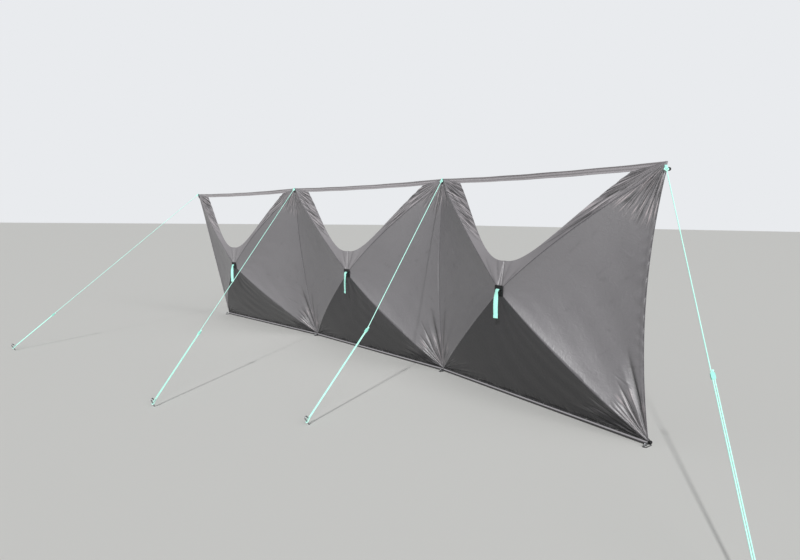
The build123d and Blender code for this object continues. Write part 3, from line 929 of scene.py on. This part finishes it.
def makeTopTape(bay):
    # A flat ribbon from corner to corner, which sags a little and rolls to and fro
    start, end = tops[bay], tops[bay + 1]
    width = windbreak["tapeWidth"]
    phase = random.Random(110 + bay).uniform(0, 6.3)

    def line(u, height):
        first, last = start - leans[bay] * height, end - leans[bay + 1] * height
        middle = (first + last) / 2 - up * windbreak["tapeSag"] * 2
        return bezier([first, middle, last], u)

    def smooth(u, v):
        return line(u, width * 0.5) + (line(u, 0.0) - line(u, width)) * (0.5 - v)

    def place(u, v):
        free = betweenEnds(u, 0.12)
        angle = math.radians(topTape["twist"]) * np.sin(u * 9.5 + phase) * free
        across = (0.5 - v) * width * (1 - 0.06 * free)
        curl = topTape["roll"] * (2 * v - 1) ** 2 * (0.4 + 0.6 * free)
        fold = np.cos((v - 0.5) * 4 * math.pi + 0.8 * np.sin(u * 7 + phase))
        pleat = topTape["pleat"] * fold * (0.5 + 0.5 * free)
        behind = topTape["behind"] * (1 - betweenEnds(u, 0.14))
        forward = across * np.sin(angle) + curl + pleat - behind
        points = line(u, width * 0.5) + leans[bay] * across * np.cos(angle) - back * forward
        points += up * topTape["flutter"] * np.sin(u * 31 + phase) * free
        return points, {"size": (windbreak["bayWidth"], width)}

    mesh = gridMesh(f"topTape{bay + 1}", 200, 18, place)
    cut = (windbreak["bayWidth"] * 1.002, width)
    finish = (tapeCloth, "edge_tape", f"top_tape_{bay + 1}")
    newSheet(mesh, smooth, cut, finish, thickness=topTape["thickness"], offset=0.0)


for bay in range(bayCount):
    makeTopTape(bay)
print("tape made")

seamWelt = {
    "rodHalf": 0.0026,     # half width over a rod, and over a post
    "postHalf": 0.0030,
    "forward": 0.0002,
    "steps": 150,
}


def makeWelts(name, lines, seed, halfWidth):
    # Raised seams along the given curves, slightly uneven where the thread gathers the cloth
    rng = random.Random(seed)
    parts = []
    for line in lines:
        phase = rng.uniform(0, 6.3)

        def place(u, v):
            tangent = bezier(line, u + 0.01) - bezier(line, u - 0.01)
            tangent = tangent / np.linalg.norm(tangent, axis=1, keepdims=True)
            forward = -back - tangent * (tangent @ -back)[:, None]
            forward = forward / np.linalg.norm(forward, axis=1, keepdims=True)
            gather = 1 + 0.22 * np.sin(u * 210 + phase) + 0.15 * np.sin(u * 97 + 2 * phase)
            raised = np.sin(fullTurn * v) * halfWidth / 2 * gather + seamWelt["forward"]
            sideways = np.cross(tangent, forward) * np.cos(fullTurn * v) * halfWidth
            return bezier(line, u) + forward * raised + sideways, {"size": (1.2, 0.02)}

        parts.append(gridMesh(name + "Part", seamWelt["steps"], 8, place, closed=True))
    # The welts' dark colour is partly painted seam shade
    newPiece(joinMeshes(name, parts), bindingCloth, "band_cloth")


for bay in range(bayCount):
    rodSeams = [rodLine(bay, side, level) for side in (-1, 1) for level in (-1, 1)]
    makeWelts(f"rodSeams{bay + 1}", rodSeams, 150 + bay, seamWelt["rodHalf"])
postSeams = [[lowCorners[post], edgeControl(post), highCorners[post]] for post in posts]
makeWelts("postSeams", postSeams, 160, seamWelt["postHalf"])
print("seams sewn")

guys = {
    "reaches": (2.205, 2.303, 1.532, 1.568),
    "bearings": (23.9, 38.5, 17.7, 40.1),
    "pegHold": 0.024,
    "standoff": 0.0048,
    "loopDrops": (0.0, 0.0, 0.0, 0.022),
}
cornerTab = {
    "ringLength": 0.030,
    "ringHeight": 0.015,
    "ringWidth": 0.012,
    "ringWall": 0.0020,
    "stripWidth": 0.016,
    "stripLength": 0.060,
    "stripThickness": 0.0022,
    "stitchesFromMiddle": 0.0055,
    "capWidth": 0.019,
    "capStart": 0.002,
    "capLow": 0.046,         # how far down the seam the moulded cap reaches
    "capDepth": 0.0075,
    "capForward": 0.0072,
}


def bandSection(width, thickness, share):
    # A flat section with round edges: sideways and outward offsets, once round for share 0 to 1
    angle = fullTurn * share
    flat = np.sign(np.cos(angle)) * np.abs(np.cos(angle)) ** 0.35
    return flat * width / 2, np.sin(angle) * thickness / 2 * (1 + 0.15 * np.cos(angle) ** 2)


def alongTops(post, run):
    # Way along the top edge at a post, square to the given way up
    along = tops[min(post + 1, bayCount)] - tops[max(post - 1, 0)]
    return unit(along - run * (along @ run))


def makeCornerLoop(post):
    # Webbing loop round the guy line's eye, a slot-shaped ring with soft edges
    bearing = math.radians(guys["bearings"][post])
    outward = np.array([math.sin(bearing), -math.cos(bearing), 0])
    hold = tops[post] * (1, 1, 0) + outward * guys["reaches"][post] + up * guys["pegHold"]
    start = tops[post] - back * guys["standoff"] - seamRun(post) * guys["loopDrops"][post]
    direction = unit(hold - start)
    across = unit(np.cross(direction, up))
    upright = np.cross(across, direction)
    radius = (cornerTab["ringHeight"] - cornerTab["ringWall"]) / 2
    half = cornerTab["ringLength"] / 2 - cornerTab["ringHeight"] / 2
    middle = start + direction * cornerTab["ringLength"] / 2

    def place(u, v):
        angle = fullTurn * u
        sideways, outwards = bandSection(cornerTab["ringWidth"], cornerTab["ringWall"], v)
        reach = radius + outwards
        along = half * np.clip(np.cos(angle) * 3, -1, 1) + reach * np.cos(angle)
        points = middle + direction * along + upright * reach * np.sin(angle) + across * sideways
        return points, {"size": (0.08, 0.028)}

    return gridMesh("loopPart", 64, 20, place, closed=True)


def makeCornerStrip(post):
    # Webbing sewn down the seam from the loop, its end folded under
    run = seamRun(post)
    along = alongTops(post, run)
    facing = np.cross(along, run)
    start = tops[post] - back * (guys["standoff"] - cornerTab["stripThickness"] / 2)

    def place(u, v):
        sideways, outward = bandSection(cornerTab["stripWidth"], cornerTab["stripThickness"], v)
        stitches = 0.0005 * bell(np.abs(sideways) - cornerTab["stitchesFromMiddle"], 0.0010)
        outward = np.where(outward > 0, outward - stitches, outward)
        narrow = 1 - 0.35 * softStep((u - 0.93) / 0.07)
        centre = start - run * (u * cornerTab["stripLength"])
        return centre + along * sideways * narrow + facing * outward, {"size": (0.06, 0.04)}

    return capped("stripPart", 40, 28, place)


def makeCornerCap(post):
    # Moulded cap over the very corner, under the loop, with a waisted lower end
    along = alongTops(post, leans[post])
    facing = np.cross(along, leans[post])

    def place(u, v):
        swell = np.sin(np.clip(0.12 + u * 0.88, 0, 1) * math.pi) ** 0.6
        size = (cornerTab["capWidth"] * (0.25 + 0.75 * swell), cornerTab["capDepth"] * (0.35 + 0.65 * swell))
        sideways, outward = bandSection(*size, v)
        down = leans[post] * (u * cornerTab["capLow"] + cornerTab["capStart"])
        centre = tops[post] + facing * cornerTab["capForward"] - down
        return centre + along * sideways + facing * outward, {"size": (0.05, 0.05)}

    return capped("capPart", 30, 24, place)


loops = joinMeshes("cornerLoops", [makeCornerLoop(post) for post in posts])
newPiece(loops, tealWebbing, "teal_webbing", "corner_tabs")
strips = joinMeshes("cornerStrips", [makeCornerStrip(post) for post in posts])
newPiece(strips, tapeCloth, "edge_tape")
caps = joinMeshes("cornerCaps", [makeCornerCap(post) for post in posts[:-1]])
newPiece(caps, blackNylon, "black_plastic")
print("corner fittings made")

plate = {
    "width": 0.074,
    "height": 0.069,
    "thickness": 0.0050,
    "corner": 0.009,
    "edge": 0.0012,
    "gap": 0.0004,
    "rim": 0.0045,
    "rimSlope": 0.0008,
    "recess": 0.0012,
    "barLevel": 0.006,
    "barHalf": 0.018,
    "barRadius": 0.0026,
    "barStand": 0.0085,
    "barOverhang": 0.003,
    "rivetRadius": 0.0032,
    "rivetIn": 0.011,
}


def foremost(bm):
    # The largest of the faces that lie furthest forward
    return max(bm.faces, key=lambda face: (round(face.calc_center_median().z, 6), face.calc_area()))


def roundedBlock(bm, width, height, low, high, corner, edge):
    # A block with rounded corners and softened front edges, flat on the plane z = low
    verts = bmesh.ops.create_cube(bm, size=1.0)["verts"]
    bmesh.ops.scale(bm, vec=(width, height, high - low), verts=verts)
    bmesh.ops.translate(bm, vec=(0, 0, (high + low) / 2), verts=verts)
    upright = [e for e in bm.edges if abs(e.verts[0].co.z - e.verts[1].co.z) > (high - low) / 2]
    rounding = {"profile": 0.5, "affect": "EDGES", "material": -1}
    bmesh.ops.bevel(bm, geom=upright, offset=corner, segments=6, **rounding)
    bmesh.ops.bevel(bm, geom=list(foremost(bm).edges), offset=edge, segments=3, **rounding)


def tube(bm, start, end, radius):
    # A round bar between two points
    run = Vector(end) - Vector(start)
    turned = run.to_track_quat("Z", "Y").to_matrix().to_4x4()
    place = Matrix.Translation((Vector(start) + Vector(end)) / 2) @ turned
    size = {"radius1": radius, "radius2": radius, "depth": run.length}
    bmesh.ops.create_cone(bm, cap_ends=True, segments=16, matrix=place, **size)


def finishMesh(bm, name, place, sharpest=0.6):
    # Put in place and smooth-shaded, save over edges that turn more than the sharpest angle
    bmesh.ops.transform(bm, matrix=place, verts=bm.verts)
    bmesh.ops.recalc_face_normals(bm, faces=bm.faces)
    for face in bm.faces:
        face.smooth = True
    for edge in bm.edges:
        if len(edge.link_faces) == 2 and edge.calc_face_angle(0) > sharpest:
            edge.smooth = False
    return meshFrom(bm, name)


def makeHubPlate(bay):
    # Moulded plate with a rim, a bar that the pull strap goes round, and four rivet heads
    bm = bmesh.new()
    low, high = plate["gap"], plate["gap"] + plate["thickness"]
    roundedBlock(bm, plate["width"], plate["height"], low, high, plate["corner"], plate["edge"])
    face = foremost(bm)
    bmesh.ops.inset_region(bm, faces=[face], thickness=plate["rim"], depth=0.0)
    bmesh.ops.inset_region(bm, faces=[face], thickness=plate["rimSlope"], depth=-plate["recess"])
    reach = high + plate["barStand"]
    level, half, radius = plate["barLevel"], plate["barHalf"], plate["barRadius"]
    for side in (-1, 1):
        tube(bm, (side * half, level, high - 0.002), (side * half, level, reach), radius * 1.3)
    overhang = half + plate["barOverhang"]
    tube(bm, (-overhang, level, reach), (overhang, level, reach), radius)
    across, along = (plate[key] / 2 - plate["rivetIn"] for key in ("width", "height"))
    size = {"u_segments": 16, "v_segments": 8, "radius": plate["rivetRadius"]}
    for x, y in ((-across, -along), (-across, along), (across, -along), (across, along)):
        head = bmesh.ops.create_uvsphere(bm, **size)["verts"]
        bmesh.ops.scale(bm, vec=(1, 1, 0.5), verts=head)
        bmesh.ops.translate(bm, vec=(x, y, high - plate["recess"]), verts=head)
    mesh = finishMesh(bm, f"hubPlate{bay + 1}", hubs[bay].matrix())
    newPiece(mesh, blackNylon, "black_plastic", f"hub_plate_{bay + 1}")


strap = {
    "width": 0.028,
    "reach": 0.018,
    "bend": 0.008,
    "drop": 0.184,
    "layer": 0.0016,
    "spread": 0.0016,
    "bow": 0.004,
    "cup": 0.0010,
    "gather": 0.20,          # how much narrower it is where it comes over the bar
    "hemHeight": 0.020,
    "hemDepth": 0.0075,
    "rollRadius": 0.0076,    # what is wound round the bar
    "rollWidth": 0.025,
    "twists": (25.0, -22.0, 24.0),   # degrees that each strap has turned as it hangs
}


def makePullStrap(bay):
    # Webbing folded over the plate's bar, which turns down and hangs doubled
    plane = hubs[bay]
    outward = unit(plane.z * (1, 1, 0))
    sideways = np.cross(outward, up)
    root = plane.point(0, plate["barLevel"], plate["gap"] + plate["thickness"] + plate["barStand"])
    straight = strap["reach"] - plate["barStand"] - strap["bend"]
    arc = strap["bend"] * math.pi / 2
    hang = strap["drop"] - strap["bend"] - plate["barLevel"]
    total = straight + arc + hang
    twist = math.radians(strap["twists"][bay])

    def acrossAt(turned):
        return sideways * np.cos(turned) + outward * np.sin(turned)

    def layerPlace(layer):
        def place(u, v):
            distance = u * total
            angle = np.clip((distance - straight) / strap["bend"], 0, math.pi / 2)
            fallen = np.clip(distance - straight - arc, 0, None)
            swing = np.sin(fallen / hang * math.pi)
            out = np.minimum(distance, straight) + strap["bend"] * np.sin(angle) + strap["bow"] * swing
            down = strap["bend"] * (1 - np.cos(angle)) + fallen
            apart = layer * (strap["layer"] * 0.55 + strap["spread"] * swing)
            offset = apart - strap["cup"] * (2 * v - 1) ** 2
            normal = outward * np.sin(angle) + up * np.cos(angle)
            turned = twist * softStep(down / 0.07)
            facing = normal * np.cos(turned) - sideways * np.sin(turned) * np.sin(angle)
            width = (v - 0.5) * strap["width"] * (1 - strap["gather"] * bell(down - 0.01, 0.02))
            points = root + outward * out - up * down + facing * offset + acrossAt(turned) * width
            return points, {"size": (total, strap["width"])}
        return place

    layers = [gridMesh("strapLayer", 90, 8, layerPlace(layer)) for layer in (-1, 1)]
    mesh = joinMeshes(f"pullStrap{bay + 1}", layers)
    piece = newPiece(mesh, tealWebbing, "teal_webbing", f"pull_strap_{bay + 1}")
    giveThickness(piece, strap["layer"], 0.0)
    out = strap["reach"] - plate["barStand"] + 0.002
    end = root + outward * out - up * (strap["drop"] - plate["barLevel"] - 0.004)
    across = acrossAt(twist)
    facing = np.cross(across, up)

    def hemPlace(u, v):
        wide, thick = bandSection(strap["width"] * 1.06, strap["hemDepth"], v)
        points = end + up * (u - 0.1) * strap["hemHeight"] + across * wide + facing * thick
        return points, {"size": (0.02, 0.06)}

    def rollPlace(u, v):
        # Turns of webbing round the bar, their edges a little rounded
        rounded = (1 - 0.22 * np.abs(2 * u - 1) ** 6) * (1 + 0.05 * np.sin(3 * fullTurn * v))
        spoke = plane.z * np.cos(fullTurn * v) + plane.y * np.sin(fullTurn * v)
        centre = root + plane.x * (u - 0.5) * strap["rollWidth"]
        return centre + spoke * strap["rollRadius"] * rounded, {"size": (0.025, 0.05)}

    ends = [capped("strapHem", 12, 24, hemPlace), capped("strapRoll", 16, 24, rollPlace)]
    sewnEnd = newPiece(joinMeshes(f"strapEnd{bay + 1}", ends), tealWebbing, "teal_webbing")


for bay in range(bayCount):
    makeHubPlate(bay)
    makePullStrap(bay)
print("hub plates and straps made")

nodeFinishes = {
    blackNylon: ["hub_1", "hub_2", "hub_3", "top_boots", "foot_boots"],
    rodFibre: ["rods_1", "rods_2", "rods_3"],
    blackWebbing: ["foot_loops"],
    pegSteel: ["foot_pegs", "guy_pegs"],
    mintNylon: ["line_runners"],
    guyCord: ["guy_line_1", "guy_line_2", "guy_line_3", "guy_line_4"],
}
for material, names in nodeFinishes.items():
    for name in names:
        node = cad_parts[name]
        node.data.materials.clear()
        node.data.materials.append(material)
print("packed nodes finished")

# The camera stands at the photograph's place, found from the feet, corners and hubs
camera = {
    "place": (3.828, -1.923, 1.180),
    "heading": -51.13,
    "pitch": 5.646,
    "roll": 0.685,
    "lens": 27.118,
    "sensor": 36.0,
    "farthest": 500.0,
}


def makeCamera():
    # Rolled, then tilted down from level, then turned clockwise to its heading
    turns = ((-camera["heading"], "Z"), (90 - camera["pitch"], "X"), (camera["roll"], "Z"))
    place = Matrix.Translation(camera["place"])
    for degrees, axis in turns:
        place = place @ Matrix.Rotation(math.radians(degrees), 4, axis)
    data = bpy.data.cameras.new("camera")
    data.lens = camera["lens"]
    data.sensor_width = camera["sensor"]
    data.clip_end = camera["farthest"]
    viewer = link("camera", data)
    viewer.matrix_world = place
    bpy.context.scene.camera = viewer


studio = {
    "floorHalf": 120.0,
    "floorColour": "#d9d9d6",
    "skyColour": "#e9ebee",
    "fill": 0.22,
    "sunPower": 2.65,
    "sunSoftness": 2.0,
    "sunFrom": (0.50, -0.73, 0.47),
    "sidePower": 1.80,
    "sideSoftness": 50.0,
    "sideFrom": (0.94, -0.20, 0.40),
}


def makeFloor():
    bm = bmesh.new()
    bmesh.ops.create_grid(bm, x_segments=8, y_segments=8, size=studio["floorHalf"])
    floor = link("floor", meshFrom(bm, "floor"))
    material, shader, _ = newMaterial("paleFloor")
    colour = linear(studio["floorColour"])
    feed(shader, {"Base Color": colour, "Roughness": 0.9, "Specular IOR Level": 0.1})
    floor.data.materials.append(material)


def makeLight():
    # Two suns, and a sky that is pale to the camera and dim to the cloth
    for name in ("sun", "side"):
        data = bpy.data.lights.new(name, "SUN")
        data.energy = studio[name + "Power"]
        data.angle = math.radians(studio[name + "Softness"])
        lamp = link(name, data)
        lamp.rotation_mode = "QUATERNION"
        lamp.rotation_quaternion = Vector(studio[name + "From"]).to_track_quat("Z", "Y")
    world = bpy.data.worlds.new("studio")
    world.use_nodes = True
    bpy.context.scene.world = world
    tree = world.node_tree
    seen = addNode(tree, "LightPath", "Is Camera Ray")
    limits = {"Value": seen, "To Min": studio["fill"], "To Max": 1.0}
    strength = addNode(tree, "MapRange", "Result", limits)
    feed(tree.nodes["Background"], {"Color": linear(studio["skyColour"]), "Strength": strength})


makeCamera()
makeFloor()
makeLight()
bpy.context.scene.view_settings.view_transform = "Standard"
print("camera and lights set")
